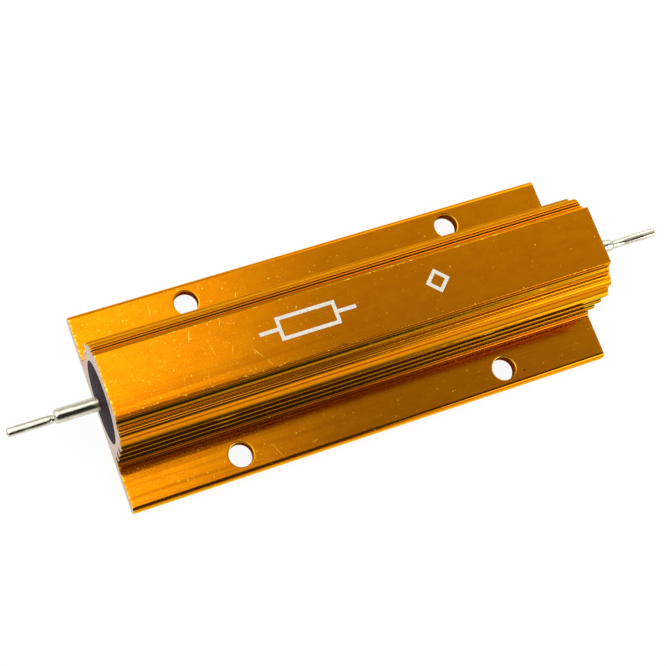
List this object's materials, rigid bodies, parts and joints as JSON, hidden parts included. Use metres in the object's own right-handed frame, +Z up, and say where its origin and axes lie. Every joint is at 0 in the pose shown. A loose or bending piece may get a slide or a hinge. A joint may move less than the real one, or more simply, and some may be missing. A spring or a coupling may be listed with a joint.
{
  "type": "aluminium housed power resistor",
  "caption": "Slim wirewound power resistor in a finned gold anodised aluminium extrusion with mounting flanges, dark end seals and stepped solder terminals.",
  "frame": {"origin": "centre of the mounting face, halfway along the extrusion and midway between its flange edges", "axes": "+X along the extrusion towards the terminal with the shorter shank, +Y across the flanges, +Z up from the mounting face"},
  "size_m": [0.0957, 0.0282, 0.0152],
  "materials": {
    "anodised_aluminium": "gold anodised, fine extrusion lines, raw metal on the cut ends",
    "seal_resin": "cast dark resin, slightly domed",
    "tinned_metal": "tin plated, slightly dull",
    "core_ceramic": "unglazed",
    "resistance_wire": "drawn nickel alloy",
    "cap_steel": "pressed",
    "filler_cement": "cast, matt"
  },
  "bodies": {
    "root": {"housing": "anodised_aluminium", "ceramic_core": "core_ceramic", "resistance_winding": "resistance_wire", "left_end_cap": "cap_steel", "right_end_cap": "cap_steel", "potting_filler": "filler_cement", "left_end_seal": "seal_resin", "right_end_seal": "seal_resin", "left_terminal": "tinned_metal", "right_terminal": "tinned_metal"}
  },
  "joints": []
}
